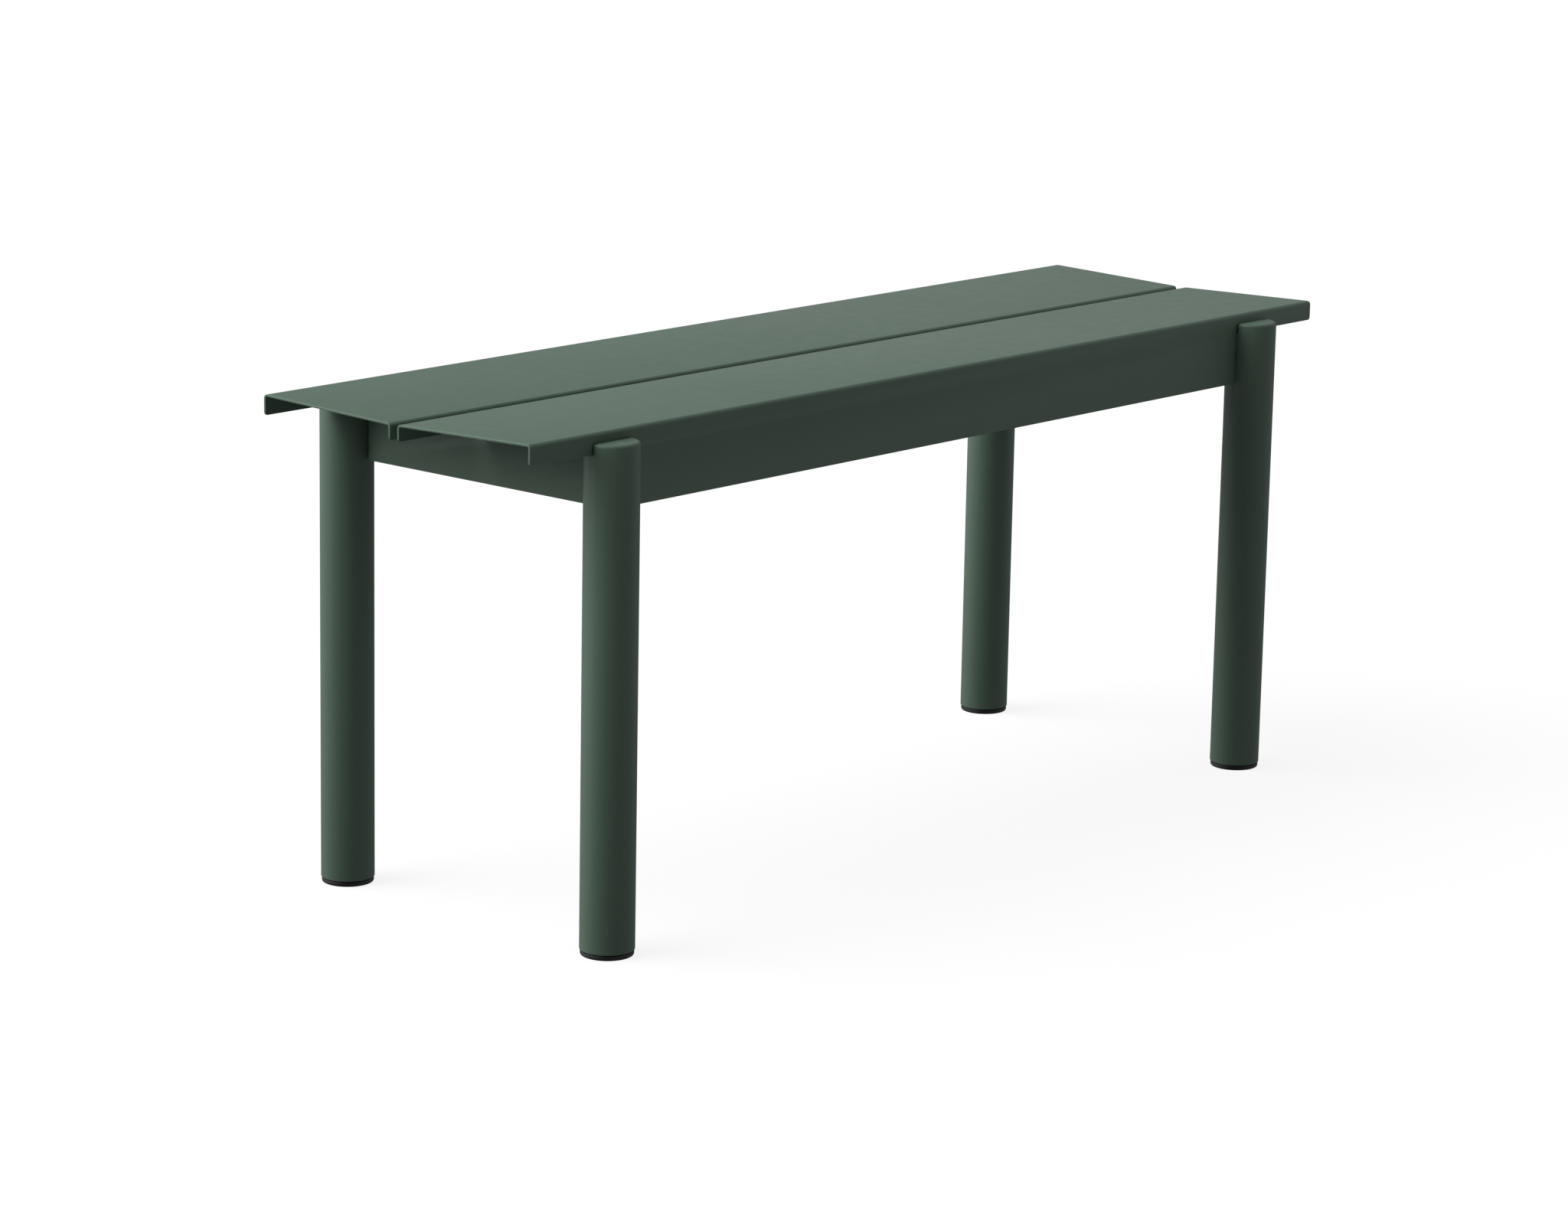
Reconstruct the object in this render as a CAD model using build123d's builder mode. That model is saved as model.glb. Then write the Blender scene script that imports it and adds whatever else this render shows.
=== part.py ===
from build123d import *
import os
from math import cos, radians, sin, tan

# Backless bench. X runs along the seat, the front is -Y, +Z is up, and the origin
# is on the floor under the middle of the seat. All sizes are in millimetres.

# Seat planks: two folded sheets that lean towards the gap between them.
seat_length = 1100.0
seat_height = 455.0
seat_edge_y = 160.0
gap_width = 8.8
dish_angle = 1.6
sheet = 2.0
bend_radius = 3.5
flange_depth = 18.6
inner_flange_depth = 14.8
sheet_corner = 3.0
apron_bottom = 387.0
apron_to_leg = 1.0

# Legs: round tubes with a slotted, closed top.
leg_x = 452.0
leg_y = 160.0
leg_radius = 24.0
leg_wall = 2.5
leg_top = seat_height - 9.0
cap_height = 6.0
cap_spigot = 12.0
cap_rim = 3.0
slot_outer_gap = 0.9
slot_inner_gap = 0.3

# Cross rails under the planks: one at each pair of legs, one in the middle.
rail_sheet = 3.0
rail_bend = 4.5
end_rail_x = 450.0
end_rail_width = 38.0
rail_to_leg = 1.0
middle_rail_width = 44.0
middle_rail_depth = 36.0
middle_rail_reach = 152.0
notch_width = 18.0
notch_depth = 23.0
gusset_bottom = 408.0
gusset_side = 58.0
gusset_clearance = 0.5

# Fasteners that hold the planks to the rails: M6 welded studs, washers and nuts.
stud_radius = 3.0
stud_length = 15.0
stud_hole_radius = 3.4
stud_rows_y = (44.0, 116.0)
washer_bore_radius = 3.2
washer_radius = 6.0
washer_height = 1.6
nut_bore_radius = 3.05
nut_flats = 10.0
nut_height = 5.0

# Levelling feet: M10 screw, hex nut in a ribbed plug, swivelling pad.
pad_radius = 23.3
pad_height = 4.4
pad_floor = 1.2
pad_lip = 0.7
pad_base_rim = 1.8
pad_top_rim = 0.4
pad_key_radius = 3.2
foot_gap = 0.8
screw_radius = 5.0
screw_top = 46.0
screw_disc_radius = 8.0
screw_key_flats = 5.0
screw_key_depth = 5.0
screw_chamfer = 0.8
swivel_clearance = 0.06
plug_bottom = 7.2
plug_top = 36.0
plug_core_radius = 20.4
plug_rib_radius = 21.45
plug_rib_height = 1.6
plug_rib_count = 4
plug_bore_radius = 5.6
foot_nut_flats = 17.0
foot_nut_height = 8.0
foot_nut_bore_radius = 5.05
foot_nut_clearance = 0.05

slope = tan(radians(dish_angle))
flange_bottom = seat_height - flange_depth
tube_bottom = pad_height + foot_gap
tube_top = leg_top - cap_height
corners = {
    "front_left": (-leg_x, -leg_y),
    "front_right": (leg_x, -leg_y),
    "rear_left": (-leg_x, leg_y),
    "rear_right": (leg_x, leg_y),
}
end_stud_x = end_rail_x - rail_sheet - (end_rail_width - rail_sheet) / 2


def toward_seat_edge(x, y):
    """Plane in the underside of a plank, with Z pointing along the slope to the plank's outer edge."""
    side = 1 if y > 0 else -1
    z = seat_height - (seat_edge_y - abs(y)) * slope - sheet / cos(radians(dish_angle))
    along = (0, side * cos(radians(dish_angle)), sin(radians(dish_angle)))
    return Plane(origin=(x, y, z), x_dir=(-side, 0, 0), z_dir=along)


def below_plank(x, y, depth=0):
    """Plane parallel to the underside of a plank, depth below it, with Z pointing up."""
    side = 1 if y > 0 else -1
    up = (0, -side * sin(radians(dish_angle)), cos(radians(dish_angle)))
    origin = toward_seat_edge(x, y).origin
    return Plane(origin=origin, x_dir=(1, 0, 0), z_dir=up).offset(-depth)


def write(part, name):
    """Labels a finished piece and writes it as one STEP file."""
    part.label = name
    export_step(part, f"parts/{name}.step")


def make_front_plank():
    """Folded sheet: top, outer flange that deepens to an apron between the legs, inner flange."""
    inner_y = gap_width / 2
    inner_top = seat_height - (seat_edge_y - inner_y) * slope
    apron_end = leg_x - leg_radius - apron_to_leg
    with BuildPart() as plank:
        with BuildSketch(Plane.YZ):
            with BuildLine():
                FilletPolyline(
                    (-seat_edge_y, flange_bottom),
                    (-seat_edge_y, seat_height),
                    (-inner_y, inner_top),
                    (-inner_y, inner_top - inner_flange_depth),
                    radius=bend_radius,
                )
                offset(amount=sheet, side=Side.RIGHT)
            make_face()
        extrude(amount=seat_length / 2, both=True)
        fillet(edges().filter_by(Axis.Y), radius=sheet_corner)
        with BuildSketch(Plane.XZ.offset(seat_edge_y)):
            with Locations((0, flange_bottom)):
                Rectangle(
                    2 * apron_end,
                    flange_bottom - apron_bottom,
                    align=(Align.CENTER, Align.MAX),
                )
            fillet(vertices().group_by(Axis.Y)[0], radius=sheet_corner)
        extrude(amount=-sheet)
    return plank.part


def make_rail(profile, bend, reach, bottom):
    """Folded rail that follows the underside of both planks, notched for their inner flanges."""
    with BuildPart() as rail:
        with BuildSketch(toward_seat_edge(0, 0).offset(-notch_width / 4)):
            with BuildLine():
                FilletPolyline(*profile, radius=bend)
                offset(amount=rail_sheet, side=Side.RIGHT)
            make_face()
        extrude(amount=seat_edge_y)
        mirror(about=Plane.XZ)
        with Locations((0, 0, bottom)):
            Box(
                seat_length,
                2 * reach,
                seat_height - bottom,
                align=(Align.CENTER, Align.CENTER, Align.MIN),
                mode=Mode.INTERSECT,
            )
        with Locations((0, 0, seat_height)):
            Box(
                seat_length,
                notch_width,
                notch_depth + seat_edge_y * slope,
                align=(Align.CENTER, Align.CENTER, Align.MAX),
                mode=Mode.SUBTRACT,
            )
    return rail.part


def drill_stud_holes(rail_part, x):
    """Adds the clearance holes for the plank studs to a rail at x."""
    with BuildPart() as drilled:
        add(rail_part)
        with BuildSketch(Plane.XY.offset(seat_height)):
            with Locations(*[(x, side * y) for side in (-1, 1) for y in stud_rows_y]):
                Circle(stud_hole_radius)
        extrude(amount=-(seat_height - apron_bottom) / 2, mode=Mode.SUBTRACT)
    return drilled.part


def make_left_rail():
    """End rail: an apron plate between two legs, with its top folded in under the planks."""
    deepest = seat_height - apron_bottom + seat_edge_y * slope
    profile = (
        (-end_rail_x, -deepest),
        (-end_rail_x, 0),
        (-end_rail_x + end_rail_width, 0),
    )
    reach = leg_y - leg_radius - rail_to_leg
    with BuildPart() as rail:
        add(make_rail(profile, rail_bend, reach, apron_bottom))
        fillet(edges().filter_by(Axis.X).group_by(Axis.Z)[0], radius=sheet_corner)
    return drill_stud_holes(rail.part, -end_stud_x)


def make_middle_rail():
    """Downward-open channel that ties the planks together at mid-span."""
    half = middle_rail_width / 2
    profile = (
        (-half, -middle_rail_depth),
        (-half, 0),
        (half, 0),
        (half, -middle_rail_depth),
    )
    return drill_stud_holes(make_rail(profile, rail_bend, middle_rail_reach, apron_bottom), 0)


def make_gusset(x, y):
    """Corner plate welded to a leg and to the end rail's inner face."""
    side_x = 1 if x > 0 else -1
    side_y = 1 if y > 0 else -1
    plate_x = side_x * (end_rail_x - rail_sheet)
    plate_y = side_y * (seat_edge_y - sheet - gusset_clearance)
    with BuildPart() as gusset:
        with BuildSketch(Plane.XY.offset(gusset_bottom)):
            Polygon(
                (plate_x, plate_y),
                (plate_x - side_x * gusset_side, plate_y),
                (plate_x, plate_y - side_y * gusset_side),
                align=None,
            )
            fillet(vertices(), radius=sheet_corner)
            with Locations((x, y)):
                Circle(leg_radius, mode=Mode.SUBTRACT)
        extrude(amount=rail_sheet)
    return gusset.part


def make_slot(x, y):
    """The space in a leg's top that the plank's outer flange drops into."""
    side_y = 1 if y > 0 else -1
    outer = seat_edge_y + slot_outer_gap
    inner = seat_edge_y - sheet - slot_inner_gap
    with BuildPart() as slot:
        with BuildSketch(Plane.XY.offset(flange_bottom)):
            with Locations((x, side_y * (outer + inner) / 2)):
                Rectangle(3 * leg_radius, outer - inner)
        extrude(amount=flange_depth)
    return slot.part


def make_leg_tube(x, y):
    """Round leg tube, slotted at the top."""
    with BuildPart() as tube:
        with BuildSketch(Plane.XY.offset(tube_bottom)):
            with Locations((x, y)):
                Circle(leg_radius)
                Circle(leg_radius - leg_wall, mode=Mode.SUBTRACT)
        extrude(amount=tube_top - tube_bottom)
        add(make_slot(x, y), mode=Mode.SUBTRACT)
    return tube.part


def make_leg_cap(x, y):
    """Steel cap welded into the tube's top, flush outside, with a rounded rim and the same slot."""
    with BuildPart() as cap:
        with BuildSketch(Plane.XY.offset(tube_top)):
            with Locations((x, y)):
                Circle(leg_radius)
        extrude(amount=cap_height)
        fillet(edges().group_by(Axis.Z)[-1], radius=cap_rim)
        with BuildSketch(Plane.XY.offset(tube_top)):
            with Locations((x, y)):
                Circle(leg_radius - leg_wall)
        extrude(amount=-cap_spigot)
        add(make_slot(x, y), mode=Mode.SUBTRACT)
    return cap.part


def stud_places():
    """Every point where a plank is held to a rail."""
    columns = (-end_stud_x, 0, end_stud_x)
    return [(x, side * y) for x in columns for side in (-1, 1) for y in stud_rows_y]


def make_seat_studs():
    """Threaded studs welded to the undersides of the planks."""
    with BuildPart() as studs:
        with BuildSketch(*[below_plank(x, y) for x, y in stud_places()]):
            Circle(stud_radius)
        extrude(amount=-stud_length)
    return studs.part


def make_seat_washers():
    """Flat washers under the seat nuts."""
    with BuildPart() as washers:
        with BuildSketch(*[below_plank(x, y, rail_sheet) for x, y in stud_places()]):
            Circle(washer_radius)
            Circle(washer_bore_radius, mode=Mode.SUBTRACT)
        extrude(amount=-washer_height)
    return washers.part


def make_seat_nuts():
    """Hex nuts that clamp the rails to the planks."""
    depth = rail_sheet + washer_height
    with BuildPart() as nuts:
        with BuildSketch(*[below_plank(x, y, depth) for x, y in stud_places()]):
            RegularPolygon(nut_flats / 2, 6, major_radius=False)
            Circle(nut_bore_radius, mode=Mode.SUBTRACT)
        extrude(amount=-nut_height)
    return nuts.part


def make_foot_plug(x, y):
    """Ribbed plug pressed into the leg, with a hex pocket for the nut."""
    rib_pitch = (plug_top - plug_bottom - plug_rib_height) / (plug_rib_count - 1)
    with BuildPart() as plug:
        with BuildSketch(Plane.XY.offset(plug_bottom)):
            with Locations((x, y)):
                Circle(plug_core_radius)
        extrude(amount=plug_top - plug_bottom)
        for rib in range(plug_rib_count):
            with BuildSketch(Plane.XY.offset(plug_bottom + rib * rib_pitch)):
                with Locations((x, y)):
                    Circle(plug_rib_radius)
            extrude(amount=plug_rib_height)
        with BuildSketch(Plane.XY.offset(plug_bottom)):
            with Locations((x, y)):
                Circle(plug_bore_radius)
        extrude(amount=plug_top - plug_bottom, mode=Mode.SUBTRACT)
        with BuildSketch(Plane.XY.offset(plug_top)):
            with Locations((x, y)):
                RegularPolygon(foot_nut_flats / 2 + foot_nut_clearance, 6, major_radius=False)
        extrude(amount=-foot_nut_height, mode=Mode.SUBTRACT)
    return plug.part


def make_foot_nut(x, y):
    """Hex nut held in the plug, which the levelling screw turns in."""
    with BuildPart() as nut:
        with BuildSketch(Plane.XY.offset(plug_top - foot_nut_height)):
            with Locations((x, y)):
                RegularPolygon(foot_nut_flats / 2, 6, major_radius=False)
                Circle(foot_nut_bore_radius, mode=Mode.SUBTRACT)
        extrude(amount=foot_nut_height)
    return nut.part


def make_foot_screw(x, y):
    """Levelling screw with a disc that turns in the pad and a hex key socket below."""
    disc_bottom = pad_floor + swivel_clearance
    disc_top = pad_height - pad_lip - swivel_clearance
    with BuildPart() as screw:
        with BuildSketch(Plane.XY.offset(disc_bottom)):
            with Locations((x, y)):
                Circle(screw_radius)
        extrude(amount=screw_top - disc_bottom)
        chamfer(edges().group_by(Axis.Z)[-1], length=screw_chamfer)
        with BuildSketch(Plane.XY.offset(disc_bottom)):
            with Locations((x, y)):
                Circle(screw_disc_radius)
        extrude(amount=disc_top - disc_bottom)
        with BuildSketch(Plane.XY.offset(disc_bottom)):
            with Locations((x, y)):
                RegularPolygon(screw_key_flats / 2, 6, major_radius=False)
        extrude(amount=screw_key_depth, mode=Mode.SUBTRACT)
    return screw.part


def make_foot_pad(x, y):
    """Round pad on the floor, with a captive recess for the screw's disc."""
    recess_height = pad_height - pad_lip - pad_floor
    with BuildPart() as pad:
        with BuildSketch(Plane.XY):
            with Locations((x, y)):
                Circle(pad_radius)
        extrude(amount=pad_height)
        fillet(edges().group_by(Axis.Z)[0], radius=pad_base_rim)
        fillet(edges().group_by(Axis.Z)[-1], radius=pad_top_rim)
        with BuildSketch(Plane.XY.offset(pad_floor)):
            with Locations((x, y)):
                Circle(screw_disc_radius + swivel_clearance)
        extrude(amount=recess_height, mode=Mode.SUBTRACT)
        with BuildSketch(Plane.XY.offset(pad_floor + recess_height)):
            with Locations((x, y)):
                Circle(screw_radius + swivel_clearance)
        extrude(amount=pad_lip, mode=Mode.SUBTRACT)
        with BuildSketch(Plane.XY):
            with Locations((x, y)):
                Circle(pad_key_radius)
        extrude(amount=pad_floor, mode=Mode.SUBTRACT)
    return pad.part


os.makedirs("parts", exist_ok=True)

front_plank = make_front_plank()
write(front_plank, "front_plank")
write(front_plank.mirror(Plane.XZ), "rear_plank")

left_rail = make_left_rail()
write(left_rail, "left_end_rail")
write(left_rail.mirror(Plane.YZ), "right_end_rail")
write(make_middle_rail(), "middle_rail")

write(make_seat_studs(), "seat_studs")
write(make_seat_washers(), "seat_washers")
write(make_seat_nuts(), "seat_nuts")

for corner, (corner_x, corner_y) in corners.items():
    write(make_leg_tube(corner_x, corner_y), f"{corner}_leg_tube")
    write(make_leg_cap(corner_x, corner_y), f"{corner}_leg_cap")
    write(make_gusset(corner_x, corner_y), f"{corner}_gusset")
    write(make_foot_plug(corner_x, corner_y), f"{corner}_foot_plug")
    write(make_foot_nut(corner_x, corner_y), f"{corner}_foot_nut")
    write(make_foot_screw(corner_x, corner_y), f"{corner}_foot_screw")
    write(make_foot_pad(corner_x, corner_y), f"{corner}_foot_pad")
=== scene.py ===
import math

import bmesh
import bpy
from mathutils import Matrix, Vector


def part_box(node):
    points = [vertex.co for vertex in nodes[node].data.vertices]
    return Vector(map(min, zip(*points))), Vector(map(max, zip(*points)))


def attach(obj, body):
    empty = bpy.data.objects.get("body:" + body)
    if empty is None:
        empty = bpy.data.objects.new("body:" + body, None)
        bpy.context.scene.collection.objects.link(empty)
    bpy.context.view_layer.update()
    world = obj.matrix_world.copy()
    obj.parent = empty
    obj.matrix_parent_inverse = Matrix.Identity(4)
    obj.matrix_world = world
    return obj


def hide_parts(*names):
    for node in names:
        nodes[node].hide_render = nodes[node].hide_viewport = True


# The looks of a backless bench of folded, powder-coated steel: every visible skin is rebuilt
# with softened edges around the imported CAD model, in metres, in the same frame.

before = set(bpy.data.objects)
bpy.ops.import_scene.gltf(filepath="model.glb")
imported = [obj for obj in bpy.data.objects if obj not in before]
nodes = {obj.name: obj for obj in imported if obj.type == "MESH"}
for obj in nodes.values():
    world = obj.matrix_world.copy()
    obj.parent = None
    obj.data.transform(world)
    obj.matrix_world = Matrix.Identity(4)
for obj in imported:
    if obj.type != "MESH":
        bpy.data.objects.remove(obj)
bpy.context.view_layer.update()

MM = 0.001
CORNERS = ("front_left", "front_right", "rear_left", "rear_right")
BODY = "frame"

# The leg's slotted top, measured from the leg's own axis.
LEG_WALL = 2.5 * MM
LEG_RIM = 3.0 * MM
SLOT_DEPTH = 9.6 * MM
OUTER_CHORD = 0.9 * MM
INNER_CHORD = 2.3 * MM
CHORD_RIM = 0.7 * MM
CHORD_CORNER = 0.9 * MM
TUBE_EDGE = 0.5 * MM
ARC_STEPS = 64
CORNER_STEPS = 4
SIDE_STEPS = 3
RIM_STEPS = 8

# The slope of each seat plank towards the gap.
DISH = math.radians(1.6)

# Roundings of the cut edges.
PLANK_EDGE = 0.40 * MM
RAIL_EDGE = 0.55 * MM
GUSSET_EDGE = 0.5 * MM

# Weld beads on the inside of each corner.
WELD_RADIUS = 1.5 * MM
WELD_SIDES = 12
WELD_RIPPLE = 1.9
WELD_RIPPLE_CHANGE = 0.13
WELD_STEP = 1.1 * MM
WELD_POINTS = 25
WELD_ARC_START = 8.0
WELD_ARC = 62.0
GUSSET_WELD_START_Y = 131 * MM
RAIL_WELD_Y = 135.9 * MM
RAIL_WELD_RISE = 5 * MM
RAIL_WELD_POINTS = 40

# Foot pad: a key hole, grip grooves and the recess that holds the screw's disc.
PAD_KEY_RADIUS = 3.2 * MM
PAD_FLOOR = 1.2 * MM
PAD_BASE_RIM = 1.8 * MM
PAD_TOP_RIM = 0.4 * MM
PAD_RECESS_RADIUS = 8.06 * MM
PAD_RECESS_TOP = 3.7 * MM
PAD_NECK_RADIUS = 5.06 * MM
GROOVE_RADII = (9.0 * MM, 12.5 * MM, 16.0 * MM)
GROOVE_DEPTH = 0.35 * MM
GROOVE_WIDTH = 1.6 * MM
GROOVE_SIDE = 0.3 * MM

# Foot plug, its nut and the levelling screw.
PLUG_CORE_RADIUS = 20.4 * MM
PLUG_BARB_RADIUS = 21.45 * MM
PLUG_BORE_RADIUS = 5.6 * MM
PLUG_BARBS = 4
PLUG_BARB_HEIGHT = 1.6 * MM
PLUG_POCKET_FLATS = 17.1 * MM
PLUG_POCKET_DEPTH = 8 * MM
FOOT_NUT_FLATS = 17 * MM
FOOT_NUT_BORE_RADIUS = 5.05 * MM
SCREW_RADIUS = 5 * MM
SCREW_PITCH = 1.5 * MM
SCREW_THREAD_DEPTH = 0.9 * MM
SCREW_DISC_RADIUS = 8 * MM
SCREW_DISC_HEIGHT = 2.38 * MM
SCREW_KEY_FLATS = 5 * MM
SCREW_KEY_DEPTH = 5 * MM
SCREW_CHAMFER = 0.3 * MM

# Seat fasteners: M6 studs, washers and nuts.
STUD_RADIUS = 3 * MM
STUD_LENGTH = 15 * MM
STUD_PITCH = 1.0 * MM
STUD_THREAD_DEPTH = 0.6 * MM
WASHER_RADIUS = 6 * MM
WASHER_BORE_RADIUS = 3.2 * MM
WASHER_HEIGHT = 1.6 * MM
SEAT_NUT_FLATS = 10 * MM
SEAT_NUT_BORE_RADIUS = 3.05 * MM
SEAT_NUT_HEIGHT = 5 * MM
TURN_BETWEEN_FASTENERS = math.radians(37)

# The studio's glows: azimuth, elevation, spread in degrees, strength. The key light stands high
# behind the left end; the rest is low fill, weakest towards the camera.
GLOWS = (
    (140, 55, 35, 4.4),
    (138, 30, 35, 3.30),
    (150, 0, 35, 0.15),
    (170, 22, 25, 2.80),
    (135, -25, 60, 0.14),
    (270, -25, 60, 0.38),
    (0, 15, 60, 0.42),
    (315, 15, 60, 0.34),
    (315, 50, 60, 0.19),
    (70, 12, 45, 0.90),
    (116, -10, 30, 1.35),
)


# ---------------------------------------------------------------- materials


def new_material(name):
    """An empty node material with a Principled shader; returns the material, its nodes and shader."""
    material = bpy.data.materials.new(name)
    material.use_nodes = True
    tree = material.node_tree
    tree.nodes.clear()
    out = tree.nodes.new("ShaderNodeOutputMaterial")
    shader = tree.nodes.new("ShaderNodeBsdfPrincipled")
    tree.links.new(shader.outputs["BSDF"], out.inputs["Surface"])
    return material, tree, shader


def object_noise(tree, scale, detail=3.0, rough=0.55, stretch=(1, 1, 1)):
    """Noise in the object's own metres, at scale features per metre."""
    place = tree.nodes.new("ShaderNodeTexCoord")
    mapping = tree.nodes.new("ShaderNodeMapping")
    mapping.inputs["Scale"].default_value = stretch
    noise = tree.nodes.new("ShaderNodeTexNoise")
    noise.inputs["Scale"].default_value = scale
    noise.inputs["Detail"].default_value = detail
    noise.inputs["Roughness"].default_value = rough
    tree.links.new(place.outputs["Object"], mapping.inputs["Vector"])
    tree.links.new(mapping.outputs["Vector"], noise.inputs["Vector"])
    return noise.outputs["Fac"]


def remap(tree, value, low, high, start=0.3, end=0.7):
    """Maps a noise value from start..end to low..high."""
    node = tree.nodes.new("ShaderNodeMapRange")
    node.inputs["From Min"].default_value = start
    node.inputs["From Max"].default_value = end
    node.inputs["To Min"].default_value = low
    node.inputs["To Max"].default_value = high
    tree.links.new(value, node.inputs["Value"])
    return node.outputs["Result"]


def blend_colours(tree, factor, first, second):
    """Mixes two colours, or sockets, by a factor socket."""
    node = tree.nodes.new("ShaderNodeMix")
    node.data_type = "RGBA"
    tree.links.new(factor, node.inputs["Factor"])
    first_socket, second_socket, result = node.inputs[6], node.inputs[7], node.outputs[2]
    for socket, value in ((first_socket, first), (second_socket, second)):
        if isinstance(value, bpy.types.NodeSocket):
            tree.links.new(value, socket)
        else:
            socket.default_value = (*value, 1.0)
    return result


def add_bump(tree, shader, layers):
    """Stacks bump layers, each (height socket, depth in metres)."""
    normal = None
    for height, depth in layers:
        bump = tree.nodes.new("ShaderNodeBump")
        bump.inputs["Strength"].default_value = 1.0
        bump.inputs["Distance"].default_value = depth
        tree.links.new(height, bump.inputs["Height"])
        if normal is not None:
            tree.links.new(normal, bump.inputs["Normal"])
        normal = bump.outputs["Normal"]
    tree.links.new(normal, shader.inputs["Normal"])


def powder_coat(name, colour, matte):
    """Matte green powder coat: fine orange peel, slow tone drift, faint lighter specks."""
    material, tree, shader = new_material(name)
    drift = remap(tree, object_noise(tree, scale=5.0, detail=2.0), 0.0, 1.0)
    paler = tuple(min(1.0, c * 1.03) for c in colour)
    darker = tuple(c * 0.97 for c in colour)
    base = blend_colours(tree, drift, darker, paler)
    grain = remap(tree, object_noise(tree, scale=1400.0, detail=2.0), 0.0, 0.30, 0.45, 0.75)
    fleck = tuple(min(1.0, c * 1.35 + 0.004) for c in colour)
    base = blend_colours(tree, grain, base, fleck)
    tree.links.new(base, shader.inputs["Base Color"])
    cloud = object_noise(tree, scale=60.0, detail=4.0)
    roughness = remap(tree, cloud, matte - 0.02, matte + 0.03)
    tree.links.new(roughness, shader.inputs["Roughness"])
    shader.inputs["IOR"].default_value = 1.30
    peel = object_noise(tree, 420.0, 2.0, 0.5)
    tooth = object_noise(tree, 1900.0, 2.0, 0.6)
    add_bump(tree, shader, ((peel, 0.00006), (tooth, 0.00003)))
    return material


def black_nylon():
    """Moulded black nylon: dull, with a fine spark-eroded texture and a few pale scuffs."""
    material, tree, shader = new_material("black_nylon")
    scuff = remap(tree, object_noise(tree, 260.0, 5.0, 0.7), 0.0, 0.5, 0.58, 0.8)
    base = blend_colours(tree, scuff, (0.003, 0.005, 0.004), (0.012, 0.015, 0.013))
    tree.links.new(base, shader.inputs["Base Color"])
    roughness = remap(tree, object_noise(tree, 500.0, 3.0), 0.5, 0.65)
    tree.links.new(roughness, shader.inputs["Roughness"])
    texture = object_noise(tree, 1600.0, 3.0, 0.6)
    add_bump(tree, shader, ((texture, 0.00004),))
    return material


def zinc_steel():
    """Zinc-plated steel: pale metal with cloudy passivation and fine drawn lines."""
    material, tree, shader = new_material("zinc_steel")
    cloud = remap(tree, object_noise(tree, 180.0, 4.0), 0.0, 1.0)
    base = blend_colours(tree, cloud, (0.50, 0.51, 0.52), (0.68, 0.68, 0.66))
    tree.links.new(base, shader.inputs["Base Color"])
    shader.inputs["Metallic"].default_value = 1.0
    roughness = remap(tree, object_noise(tree, 420.0, 4.0), 0.26, 0.42)
    tree.links.new(roughness, shader.inputs["Roughness"])
    lines = object_noise(tree, 300.0, 3.0, 0.5, (1, 1, 9))
    add_bump(tree, shader, ((lines, 0.00002),))
    return material


def floor_paint():
    """Plain pale studio floor, mostly lit from within, so that shadows on it stay faint."""
    material, tree, shader = new_material("studio_floor")
    tone = remap(tree, object_noise(tree, 1.5, 2.0), 0.0, 1.0)
    base = blend_colours(tree, tone, (0.145, 0.145, 0.145), (0.155, 0.155, 0.155))
    tree.links.new(base, shader.inputs["Base Color"])
    shader.inputs["Emission Color"].default_value = (1.0, 1.0, 1.0, 1.0)
    shader.inputs["Emission Strength"].default_value = 0.87
    shader.inputs["Roughness"].default_value = 0.9
    shader.inputs["Specular IOR Level"].default_value = 0.0
    return material


COAT = (0.092, 0.142, 0.108)
# The rounded edges get a paler, glossier coat: a painted highlight where the edges catch the light.
EDGE_HIGHLIGHT_COAT = tuple(1.6 * c for c in COAT)
coat = powder_coat("powder_coat", COAT, matte=0.50)
edge_highlight_coat = powder_coat("powder_coat_painted_edge_highlight", EDGE_HIGHLIGHT_COAT, matte=0.38)
COATED = (coat, edge_highlight_coat)
nylon = black_nylon()
zinc = zinc_steel()


# ---------------------------------------------------------------- mesh tools


def new_piece(name, mesh, materials, body, stands_for):
    """Links a mesh as a visible piece of the bench that rides on a body."""
    piece = bpy.data.objects.new(name, mesh)
    bpy.context.scene.collection.objects.link(piece)
    mesh.materials.clear()
    for material in materials:
        mesh.materials.append(material)
    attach(piece, body)
    if stands_for:
        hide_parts(*stands_for)
    return piece


def tidy_mesh(mesh, crease=40.0):
    """Points every face outward and shades smooth, with sharp lines only above the crease angle."""
    bm = bmesh.new()
    bm.from_mesh(mesh)
    bmesh.ops.recalc_face_normals(bm, faces=bm.faces)
    bm.to_mesh(mesh)
    bm.free()
    mesh.polygons.foreach_set("use_smooth", [True] * len(mesh.polygons))
    mesh.set_sharp_from_angle(angle=math.radians(crease))
    return mesh


def new_mesh(name, points, faces):
    """A closed mesh from points and faces."""
    mesh = bpy.data.meshes.new(name)
    mesh.from_pydata(points, [], faces)
    return tidy_mesh(mesh)


def bridge(first, second):
    """Quads between two closed rings of equally many point numbers."""
    count = len(first)
    return [
        (first[i], first[(i + 1) % count], second[(i + 1) % count], second[i])
        for i in range(count)
    ]


def loft(name, rings, looped=False):
    """A closed mesh through rings of points: capped at both ends, or joined end to start."""
    count = len(rings[0])
    points = [point for ring in rings for point in ring]
    numbers = [list(range(r * count, (r + 1) * count)) for r in range(len(rings))]
    faces = []
    for r in range(len(rings) - 1):
        faces += bridge(numbers[r], numbers[r + 1])
    if looped:
        faces += bridge(numbers[-1], numbers[0])
    else:
        faces += [tuple(numbers[0]), tuple(numbers[-1])]
    return new_mesh(name, points, faces)


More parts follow.
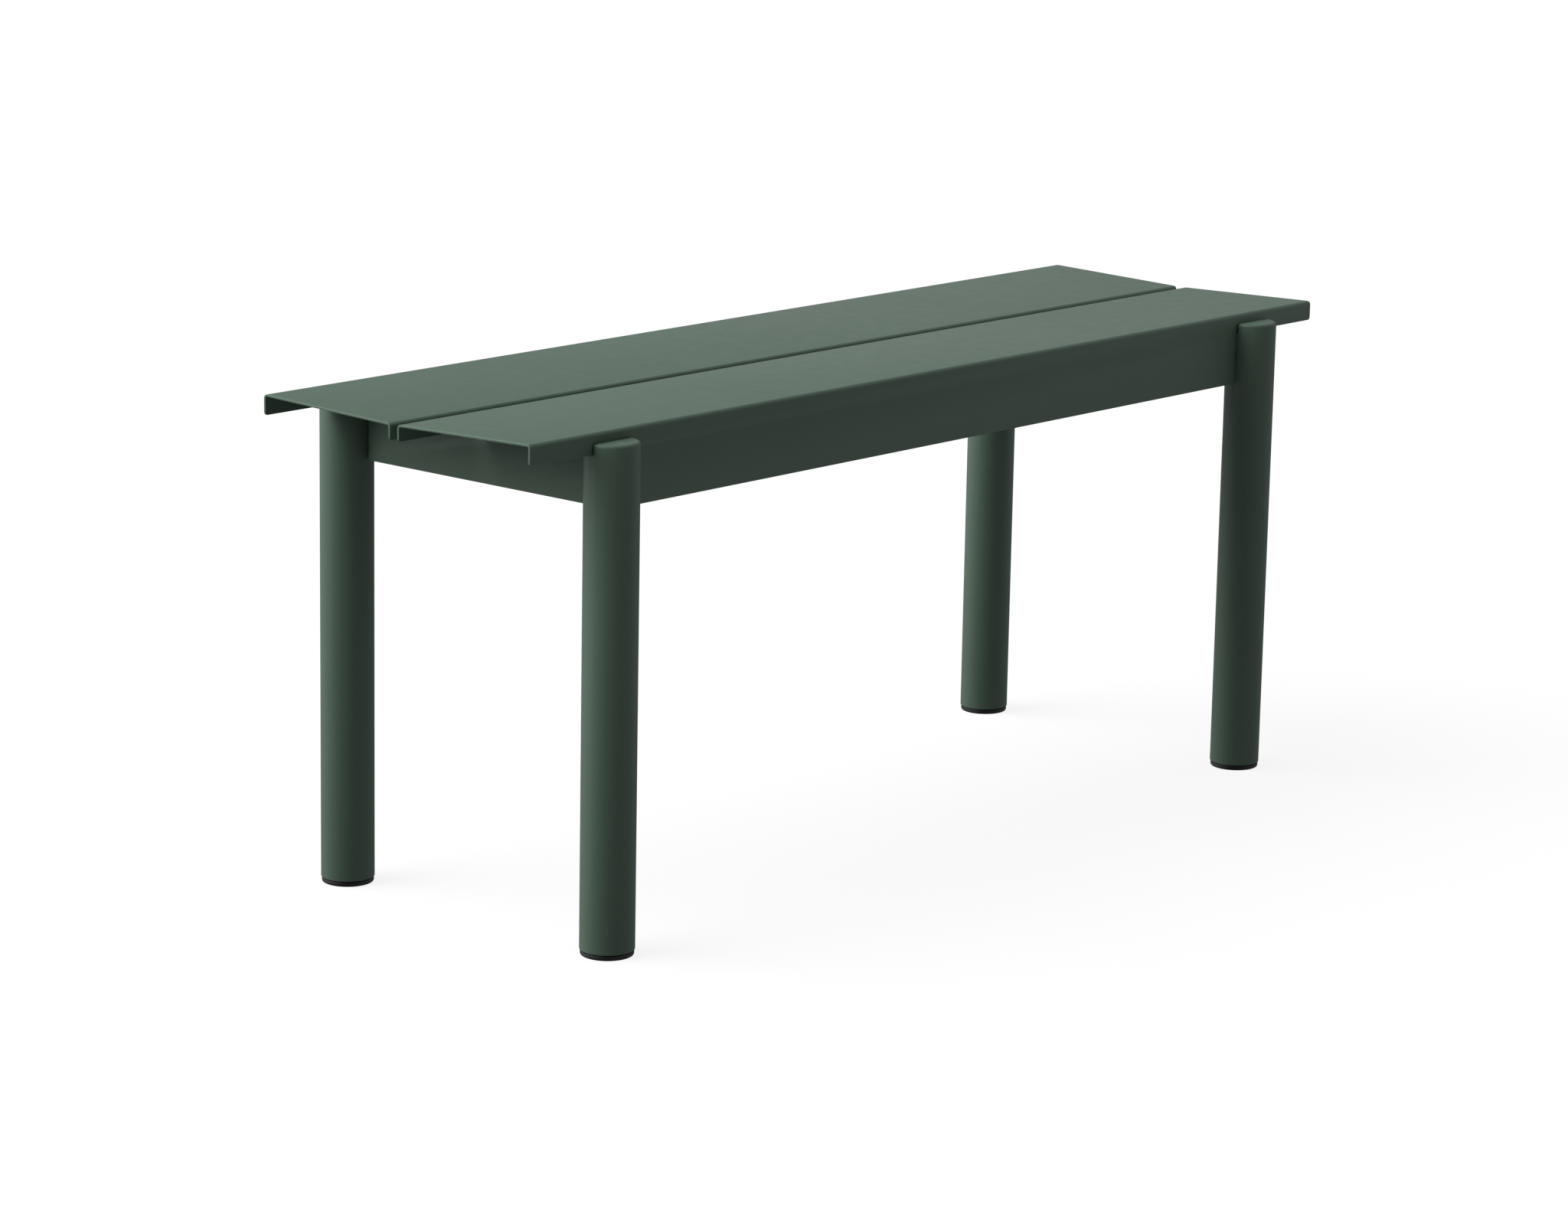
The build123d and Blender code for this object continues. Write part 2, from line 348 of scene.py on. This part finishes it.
def lathe(name, profile, segments=96, looped=False, centre=(0, 0, 0)):
    """Turns (radius, height) pairs round a vertical axis; a radius may be a function of the angle."""
    rings = []
    for radius, height in profile:
        ring = []
        for i in range(segments):
            angle = math.tau * i / segments
            reach = radius(angle) if callable(radius) else radius
            x = centre[0] + reach * math.cos(angle)
            y = centre[1] + reach * math.sin(angle)
            ring.append((x, y, centre[2] + height))
        rings.append(ring)
    return loft(name, rings, looped)


def hexagon(flats, limit=1.0):
    """Radius of a hexagon across flats at each angle, cut off by a circle of radius limit."""

    def radius(angle):
        corner = math.radians(60)
        return min(limit, flats / 2 / math.cos(angle % corner - corner / 2))

    return radius


def thread(outer, depth, pitch, height, fade):
    """Radius of a right-hand thread at one height; fade runs from 0, bare, to 1, full depth."""

    def radius(angle):
        turn = (height / pitch - angle / math.tau) % 1.0
        groove = min(1.0, max(0.0, 3.2 * abs(turn - 0.5) - 0.25))
        return outer - depth * (1 - fade * (1 - groove))

    return radius


def thread_rows(outer, depth, pitch, start, end, rows_per_turn=6):
    """Profile rows of a thread from start to end, running out over one pitch at each end."""
    count = round((end - start) / pitch * rows_per_turn)
    rows = []
    for i in range(count + 1):
        height = start + (end - start) * i / count
        fade = min(1.0, (height - start) / pitch, (end - height) / pitch)
        rows.append((thread(outer, depth, pitch, height, fade), height))
    return rows


def round_edges(piece, width, segments=3, angle=35.0):
    """Rounds the cut edges of a piece and gives the roundings its last material, a paler coat that
    paints a highlight on them.
    """
    bevel = piece.modifiers.new("edge_rounding", "BEVEL")
    bevel.width = width
    bevel.segments = segments
    bevel.limit_method = "ANGLE"
    bevel.angle_limit = math.radians(angle)
    bevel.use_clamp_overlap = True
    bevel.miter_outer = "MITER_ARC"
    bevel.harden_normals = True
    bevel.material = len(piece.data.materials) - 1


def cad_copy(node):
    """The node's mesh with its split corners joined and flat faces merged."""
    bm = bmesh.new()
    bm.from_mesh(nodes[node].data)
    bmesh.ops.remove_doubles(bm, verts=bm.verts, dist=1e-6)
    bmesh.ops.dissolve_limit(
        bm, angle_limit=math.radians(0.3), verts=bm.verts, edges=bm.edges, delimit={"NORMAL"}
    )
    bmesh.ops.recalc_face_normals(bm, faces=bm.faces)
    mesh = bpy.data.meshes.new(node + "_skin")
    bm.to_mesh(mesh)
    bm.free()
    mesh.polygons.foreach_set("use_smooth", [True] * len(mesh.polygons))
    return mesh


def soft_skin(node, width):
    """A coated skin over a CAD node with its edges rounded."""
    piece = new_piece(node + "_skin", cad_copy(node), COATED, BODY, (node,))
    round_edges(piece, width)


def island_centres(node):
    """The middle of each separate solid in a node."""
    bm = bmesh.new()
    bm.from_mesh(nodes[node].data)
    bmesh.ops.remove_doubles(bm, verts=bm.verts, dist=1e-6)
    left, centres = set(bm.verts), []
    while left:
        found = [left.pop()]
        for vert in found:
            for edge in vert.link_edges:
                other = edge.other_vert(vert)
                if other in left:
                    left.remove(other)
                    found.append(other)
        low = [min(v.co[k] for v in found) for k in range(3)]
        high = [max(v.co[k] for v in found) for k in range(3)]
        centres.append((Vector(low) + Vector(high)) / 2)
    bm.free()
    return sorted(centres, key=lambda c: (round(c.x, 4), round(c.y, 4)))


def copies(name, mesh, places):
    """One mesh that holds a copy of another at each place."""
    bm = bmesh.new()
    for place in places:
        moved = mesh.copy()
        moved.transform(place)
        bm.from_mesh(moved)
        bpy.data.meshes.remove(moved)
    joined = bpy.data.meshes.new(name)
    bm.to_mesh(joined)
    bm.free()
    return tidy_mesh(joined)


def bead(path, radius, ripple):
    """Rings of a weld bead along a path, rippled like stacked drops and tapered at its ends."""
    rings = []
    across = (path[-1] - path[0]).cross(path[len(path) // 2] - path[0])
    if across.length < 1e-9:
        across = (path[-1] - path[0]).orthogonal()
    for i, point in enumerate(path):
        ahead = path[min(i + 1, len(path) - 1)] - path[max(i - 1, 0)]
        ahead.normalize()
        side = ahead.cross(across).normalized()
        up = ahead.cross(side)
        ends = min(i, len(path) - 1 - i)
        swell = min(1.0, 0.35 + 0.25 * ends) * (1 + 0.10 * math.sin(ripple * i))
        ring = []
        for k in range(WELD_SIDES):
            angle = math.tau * k / WELD_SIDES
            ring.append(point + radius * swell * (side * math.cos(angle) + up * math.sin(angle)))
        rings.append(ring)
    return rings


# ---------------------------------------------------------------- steel skins


def plank_skins():
    """The two folded seat planks."""
    for side in ("front", "rear"):
        soft_skin(side + "_plank", PLANK_EDGE)


def rail_skins():
    """The end rails, the middle rail and the corner gussets."""
    for node in ("left_end_rail", "right_end_rail", "middle_rail"):
        soft_skin(node, RAIL_EDGE)
    for corner in CORNERS:
        soft_skin(corner + "_gusset", GUSSET_EDGE)


def half_disc(radius, chord, corner):
    """Outline of the part of a disc beyond a chord, corners rounded, counterclockwise."""
    reach = math.sqrt((radius - corner) ** 2 - (chord + corner) ** 2)
    lean = math.atan2(chord + corner, reach)
    outline = []
    for i in range(ARC_STEPS + 1):
        angle = lean + (math.pi - 2 * lean) * i / ARC_STEPS
        outline.append((radius * math.cos(angle), radius * math.sin(angle)))
    for i in range(1, CORNER_STEPS + 1):
        angle = math.pi - lean + (math.pi / 2 + lean) * i / CORNER_STEPS
        x = -reach + corner * math.cos(angle)
        outline.append((x, chord + corner + corner * math.sin(angle)))
    for i in range(CORNER_STEPS):
        angle = -math.pi / 2 + (math.pi / 2 + lean) * i / CORNER_STEPS
        x = reach + corner * math.cos(angle)
        outline.append((x, chord + corner + corner * math.sin(angle)))
    return outline, lean


def tube_angles(outer_lean, inner_lean):
    """Angles round the tube, with points exactly where the two halves of its top begin and end."""
    turns = []
    for start, lean in ((0.0, outer_lean), (math.pi, inner_lean)):
        arc = math.pi - 2 * lean
        turns += [start + lean + arc * i / ARC_STEPS for i in range(ARC_STEPS + 1)]
        across = outer_lean + inner_lean
        turns += [start + math.pi - lean + across * i / SIDE_STEPS for i in range(1, SIDE_STEPS)]
    return turns


def rim_rings(radius, chord, slot_floor, top):
    """(radius, chord, height) from the slot floor up over the rounded rim and chord edge."""
    rings = [(radius, chord, slot_floor)]
    for i in range(RIM_STEPS + 1):
        angle = math.pi / 2 * i / RIM_STEPS
        height = top - LEG_RIM * (1 - math.sin(angle))
        above = max(0.0, height - (top - CHORD_RIM)) / CHORD_RIM
        inset = CHORD_RIM * (1 - math.sqrt(max(0.0, 1 - above * above)))
        rings.append((radius - LEG_RIM * (1 - math.cos(angle)), chord + inset, height))
    return rings


def leg_mesh(corner):
    """Tube and cap as one ground and coated skin: slotted top, two rounded halves, open foot."""
    low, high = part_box(corner + "_leg_tube")
    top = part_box(corner + "_leg_cap")[1].z
    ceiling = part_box(corner + "_leg_cap")[0].z
    centre_x = (low.x + high.x) / 2
    centre_y = (low.y + high.y) / 2
    outward = 1 if centre_y > 0 else -1
    radius = (high.x - low.x) / 2
    bore = radius - LEG_WALL
    slot_floor = top - SLOT_DEPTH

    points, faces = [], []

    def place(x, y, z):
        points.append((centre_x + x, centre_y + outward * y, z))
        return len(points) - 1

    halves = ((1, OUTER_CHORD), (-1, INNER_CHORD))
    leans = [half_disc(radius, chord, CHORD_CORNER)[1] for _, chord in halves]
    turns = tube_angles(*leans)
    soft = TUBE_EDGE
    foot = low.z
    tube = [
        (bore, ceiling),
        (bore, foot + soft),
        (bore + soft * 0.3, foot + soft * 0.3),
        (bore + soft, foot),
        (radius - soft, foot),
        (radius - soft * 0.3, foot + soft * 0.3),
        (radius, foot + soft),
        (radius, slot_floor),
    ]
    previous = None
    for reach, height in tube:
        ring = [place(reach * math.cos(a), reach * math.sin(a), height) for a in turns]
        faces += [tuple(ring)] if previous is None else bridge(previous, ring)
        previous = ring

    floor_edge = []
    for number, (way, chord) in enumerate(halves):
        start = number * (ARC_STEPS + SIDE_STEPS)
        shared = previous[start : start + ARC_STEPS + 1]
        last = None
        for reach, cut, height in rim_rings(radius, chord, slot_floor, top):
            outline, _ = half_disc(reach, cut, CHORD_CORNER)
            if last is None:
                rest = outline[ARC_STEPS + 1 :]
                ring = shared + [place(way * x, way * y, height) for x, y in rest]
                floor_edge += [ring[0]] + ring[:ARC_STEPS:-1] + [ring[ARC_STEPS]]
                sides = start + ARC_STEPS + 1
                floor_edge += previous[sides : sides + SIDE_STEPS - 1]
            else:
                ring = [place(way * x, way * y, height) for x, y in outline]
                faces += bridge(last, ring)
            last = ring
        faces.append(tuple(last))
    faces.append(tuple(floor_edge))
    return new_mesh(corner + "_leg", points, faces)


def leg_skins():
    """The four legs, each one skin over its tube and cap."""
    for corner in CORNERS:
        stands_for = (corner + "_leg_tube", corner + "_leg_cap")
        new_piece(corner + "_leg", leg_mesh(corner), COATED, BODY, stands_for)


def weld_paths(corner):
    """Where one corner is welded: gusset to leg, gusset to end rail, end rail to leg."""
    low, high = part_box(corner + "_leg_tube")
    gusset_low, gusset_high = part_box(corner + "_gusset")
    side_x = 1 if low.x > 0 else -1
    side_y = 1 if low.y > 0 else -1
    centre = Vector(((low.x + high.x) / 2, (low.y + high.y) / 2, 0))
    radius = (high.x - low.x) / 2
    rail_face = max(abs(gusset_low.x), abs(gusset_high.x))
    paths = []
    for height in (gusset_low.z, gusset_high.z):
        arc = []
        for i in range(WELD_POINTS):
            angle = math.radians(WELD_ARC_START + WELD_ARC * i / (WELD_POINTS - 1))
            x = -side_x * radius * math.cos(angle)
            y = -side_y * radius * math.sin(angle)
            arc.append(centre + Vector((x, y, height)))
        paths.append(arc)
        run = [GUSSET_WELD_START_Y - i * WELD_STEP for i in range(WELD_POINTS)]
        paths.append([Vector((side_x * rail_face, side_y * y, height)) for y in run])
    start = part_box("left_end_rail")[0].z + RAIL_WELD_RISE
    rise = [start + i * WELD_STEP for i in range(RAIL_WELD_POINTS)]
    paths.append([Vector((side_x * rail_face, side_y * RAIL_WELD_Y, z)) for z in rise])
    return paths


def weld_beads():
    """Coated weld beads on the inside of each corner."""
    for corner in CORNERS:
        bm = bmesh.new()
        for number, path in enumerate(weld_paths(corner)):
            ripple = WELD_RIPPLE + WELD_RIPPLE_CHANGE * number
            mesh = loft("bead", bead(path, WELD_RADIUS, ripple))
            bm.from_mesh(mesh)
            bpy.data.meshes.remove(mesh)
        joined = bpy.data.meshes.new(corner + "_welds")
        bm.to_mesh(joined)
        bm.free()
        new_piece(corner + "_welds", tidy_mesh(joined, 80), COATED, BODY, ())


# ---------------------------------------------------------------- feet and fasteners


def foot_pad(centre, top, radius):
    """Nylon pad: rounded base with grip grooves, captive recess for the screw's disc."""
    profile = [(PAD_KEY_RADIUS, 0.2 * MM), (PAD_KEY_RADIUS + 0.3 * MM, 0)]
    for groove in GROOVE_RADII:
        profile += [
            (groove, 0),
            (groove + GROOVE_SIDE, GROOVE_DEPTH),
            (groove + GROOVE_WIDTH - GROOVE_SIDE, GROOVE_DEPTH),
            (groove + GROOVE_WIDTH, 0),
        ]
    for i in range(7):
        angle = math.pi / 2 * i / 6
        reach = radius - PAD_BASE_RIM * (1 - math.sin(angle))
        profile.append((reach, PAD_BASE_RIM * (1 - math.cos(angle))))
    for i in range(4):
        angle = math.pi / 2 * i / 3
        reach = radius - PAD_TOP_RIM * (1 - math.cos(angle))
        profile.append((reach, top - PAD_TOP_RIM * (1 - math.sin(angle))))
    profile += [
        (PAD_NECK_RADIUS + 0.34 * MM, top),
        (PAD_NECK_RADIUS, top - 0.3 * MM),
        (PAD_NECK_RADIUS, PAD_RECESS_TOP),
        (PAD_RECESS_RADIUS, PAD_RECESS_TOP),
        (PAD_RECESS_RADIUS, PAD_FLOOR),
        (PAD_KEY_RADIUS, PAD_FLOOR),
    ]
    return lathe("foot_pad", profile, 96, True, centre)


def foot_plug(centre, bottom, top):
    """Nylon plug with barbed ribs, a bore for the screw and a hex pocket for the nut."""
    core, barb, bore = PLUG_CORE_RADIUS, PLUG_BARB_RADIUS, PLUG_BORE_RADIUS
    pocket = hexagon(PLUG_POCKET_FLATS)
    profile = [(bore, bottom + 0.4 * MM), (bore + 0.4 * MM, bottom), (core - 0.6 * MM, bottom)]
    pitch = (top - bottom - PLUG_BARB_HEIGHT) / (PLUG_BARBS - 1)
    for i in range(PLUG_BARBS):
        base = bottom + i * pitch
        profile += [
            (core, base + PLUG_BARB_HEIGHT / 8),
            (barb, base + PLUG_BARB_HEIGHT / 4),
            (barb, base + PLUG_BARB_HEIGHT / 2),
            (core, base + PLUG_BARB_HEIGHT),
        ]
    profile += [
        (core - 0.5 * MM, top),
        (pocket, top),
        (pocket, top - PLUG_POCKET_DEPTH),
        (bore, top - PLUG_POCKET_DEPTH),
    ]
    return lathe("foot_plug", profile, 96, True, centre)


def hex_nut(name, flats, bore, height, pitch, centre=(0, 0, 0)):
    """Hex nut with chamfered corners and a threaded bore."""
    widest = flats / 2 / math.cos(math.radians(30))
    narrowest = flats / 2 * 0.95
    depth = 0.55 * pitch
    rise = 0.10 * flats
    half = height / 2
    end = half - 0.3 * MM
    chamfer = (0.25, 0.5, 0.75, 1.0)
    profile = [(narrowest, -half)]
    for part in chamfer:
        limit = narrowest + (widest - narrowest) * part
        profile.append((hexagon(flats, limit), -half + rise * part * part))
    for part in reversed(chamfer):
        limit = narrowest + (widest - narrowest) * part
        profile.append((hexagon(flats, limit), half - rise * part * part))
    profile.append((narrowest, half))
    profile.append((bore + depth, half))
    profile += reversed(thread_rows(bore + depth, depth, pitch, -end, end))
    profile.append((bore + depth, -half))
    return lathe(name, profile, 72, True, centre)


def foot_screw(centre, bottom, top):
    """Levelling screw: threaded shaft, disc that sits in the pad, hex socket from below."""
    socket = hexagon(SCREW_KEY_FLATS)
    mouth = hexagon(SCREW_KEY_FLATS + 2 * SCREW_CHAMFER)
    disc_top = bottom + SCREW_DISC_HEIGHT
    thread_end = 0.8 * MM
    profile = [
        (socket, bottom + SCREW_KEY_DEPTH),
        (socket, bottom + SCREW_CHAMFER),
        (mouth, bottom),
        (SCREW_DISC_RADIUS - SCREW_CHAMFER, bottom),
        (SCREW_DISC_RADIUS, bottom + SCREW_CHAMFER),
        (SCREW_DISC_RADIUS, disc_top - SCREW_CHAMFER),
        (SCREW_DISC_RADIUS - SCREW_CHAMFER, disc_top),
        (SCREW_RADIUS, disc_top),
    ]
    profile += thread_rows(
        SCREW_RADIUS, SCREW_THREAD_DEPTH, SCREW_PITCH, disc_top + thread_end, top - thread_end
    )
    profile.append((SCREW_RADIUS - 1.1 * MM, top))
    return lathe("foot_screw", profile, 48, False, centre)


def feet():
    """The four levelling feet, each pad and screw riding on its own body."""
    for corner in CORNERS:
        low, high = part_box(corner + "_foot_pad")
        centre = ((low.x + high.x) / 2, (low.y + high.y) / 2, 0)
        radius = (high.x - low.x) / 2
        pad = foot_pad(centre, high.z, radius)
        name = corner + "_foot_pad"
        new_piece(name + "_skin", pad, (nylon,), corner + "_pad", (name,))
        low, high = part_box(corner + "_foot_screw")
        screw = foot_screw(centre, low.z, high.z)
        name = corner + "_foot_screw"
        new_piece(name + "_skin", screw, (zinc,), corner + "_screw", (name,))
        low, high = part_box(corner + "_foot_plug")
        plug = foot_plug(centre, low.z, high.z)
        name = corner + "_foot_plug"
        new_piece(name + "_skin", plug, (nylon,), BODY, (name,))
        low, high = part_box(corner + "_foot_nut")
        middle = (centre[0], centre[1], (low.z + high.z) / 2)
        nut = hex_nut(
            "foot_nut", FOOT_NUT_FLATS, FOOT_NUT_BORE_RADIUS, high.z - low.z, SCREW_PITCH, middle
        )
        name = corner + "_foot_nut"
        new_piece(name + "_skin", nut, (zinc,), BODY, (name,))


def seat_stud():
    """M6 weld stud with a short plain neck."""
    end = STUD_LENGTH / 2
    profile = [(STUD_RADIUS - 0.7 * MM, -end)]
    profile += thread_rows(
        STUD_RADIUS, STUD_THREAD_DEPTH, STUD_PITCH, -end + 0.5 * MM, end - 1.5 * MM, 5
    )
    profile += [(STUD_RADIUS, end - 1.2 * MM), (STUD_RADIUS, end)]
    return lathe("seat_stud", profile, 36)


def seat_washer():
    """Flat washer with one rolled edge and one sharp edge."""
    half = WASHER_HEIGHT / 2
    profile = [
        (WASHER_BORE_RADIUS, -half),
        (WASHER_RADIUS - 0.4 * MM, -half),
        (WASHER_RADIUS - 0.12 * MM, -half + 0.12 * MM),
        (WASHER_RADIUS, -half + 0.4 * MM),
        (WASHER_RADIUS, half),
        (WASHER_BORE_RADIUS, half),
    ]
    return lathe("seat_washer", profile, 48, True)


def seat_fasteners():
    """Studs, washers and nuts under the planks, square to the sloping sheet."""
    nut = hex_nut("seat_nut", SEAT_NUT_FLATS, SEAT_NUT_BORE_RADIUS, SEAT_NUT_HEIGHT, STUD_PITCH)
    kinds = (("seat_studs", seat_stud()), ("seat_washers", seat_washer()), ("seat_nuts", nut))
    for node, mesh in kinds:
        places = []
        for number, centre in enumerate(island_centres(node)):
            lean = DISH if centre.y > 0 else -DISH
            turn = Matrix.Rotation(lean, 4, "X")
            if node != "seat_studs":
                turn = turn @ Matrix.Rotation(TURN_BETWEEN_FASTENERS * number, 4, "Z")
            places.append(Matrix.Translation(centre) @ turn)
        new_piece(node + "_skin", copies(node, mesh, places), (zinc,), BODY, (node,))


# ---------------------------------------------------------------- studio


def studio_floor():
    """A wide pale floor under the bench."""
    half = 30.0
    mesh = bpy.data.meshes.new("floor")
    corners = [(-half, -half, 0), (half, -half, 0), (half, half, 0), (-half, half, 0)]
    mesh.from_pydata(corners, [], [(0, 1, 2, 3)])
    floor = bpy.data.objects.new("floor", mesh)
    bpy.context.scene.collection.objects.link(floor)
    mesh.materials.append(floor_paint())
    floor.visible_diffuse = False
    floor.visible_glossy = False


def toward(azimuth, elevation):
    """Unit vector; azimuth 0 is +X and 90 is +Y, elevation is above the horizon, in degrees."""
    turn, rise = math.radians(azimuth), math.radians(elevation)
    flat = math.cos(rise)
    return (math.cos(turn) * flat, math.sin(turn) * flat, math.sin(rise))


def soft_glow(tree, direction, azimuth, elevation, spread, strength):
    """Light that fades smoothly from its centre to nothing at spread degrees away."""
    nearness = tree.nodes.new("ShaderNodeVectorMath")
    nearness.operation = "DOT_PRODUCT"
    nearness.inputs[1].default_value = toward(azimuth, elevation)
    tree.links.new(direction, nearness.inputs[0])
    glow = tree.nodes.new("ShaderNodeMapRange")
    glow.interpolation_type = "SMOOTHSTEP"
    glow.inputs["From Min"].default_value = math.cos(math.radians(spread))
    glow.inputs["From Max"].default_value = 1.0
    glow.inputs["To Min"].default_value = 0.0
    glow.inputs["To Max"].default_value = strength
    tree.links.new(nearness.outputs["Value"], glow.inputs["Value"])
    return glow.outputs["Result"]


def studio_world():
    """Soft surround of large glows, plain white to the camera."""
    world = bpy.data.worlds.new("studio")
    bpy.context.scene.world = world
    world.use_nodes = True
    tree = world.node_tree
    tree.nodes.clear()
    place = tree.nodes.new("ShaderNodeTexCoord")
    total = None
    for glow in GLOWS:
        light = soft_glow(tree, place.outputs["Generated"], *glow)
        if total is None:
            total = light
        else:
            add = tree.nodes.new("ShaderNodeMath")
            add.operation = "ADD"
            tree.links.new(total, add.inputs[0])
            tree.links.new(light, add.inputs[1])
            total = add.outputs["Value"]
    fill = tree.nodes.new("ShaderNodeBackground")
    tree.links.new(total, fill.inputs["Strength"])
    seen = tree.nodes.new("ShaderNodeBackground")
    seen.inputs["Color"].default_value = (1.0, 1.0, 1.0, 1.0)
    path = tree.nodes.new("ShaderNodeLightPath")
    mix = tree.nodes.new("ShaderNodeMixShader")
    tree.links.new(path.outputs["Is Camera Ray"], mix.inputs["Fac"])
    tree.links.new(fill.outputs["Background"], mix.inputs[1])
    tree.links.new(seen.outputs["Background"], mix.inputs[2])
    out = tree.nodes.new("ShaderNodeOutputWorld")
    tree.links.new(mix.outputs["Shader"], out.inputs["Surface"])


def studio_camera():
    """Long lens from the front left, looking a little down on the seat."""
    yaw, pitch, roll = math.radians(48.83), math.radians(12.85), math.radians(1.06)
    data = bpy.data.cameras.new("camera")
    camera = bpy.data.objects.new("camera", data)
    bpy.context.scene.collection.objects.link(camera)
    data.sensor_width = 36.0
    data.lens = 109.434
    data.clip_end = 200.0
    camera.location = (-3.29386, -2.83884, 1.19112)
    forward = Vector(
        (math.sin(yaw) * math.cos(pitch), math.cos(yaw) * math.cos(pitch), -math.sin(pitch))
    )
    turn = forward.to_track_quat("-Z", "Y").to_matrix()
    camera.rotation_euler = (turn @ Matrix.Rotation(roll, 3, "Z")).to_euler()
    bpy.context.scene.camera = camera


plank_skins()
rail_skins()
leg_skins()
weld_beads()
feet()
seat_fasteners()
studio_floor()
studio_world()
studio_camera()
bpy.context.scene.view_settings.view_transform = "Standard"
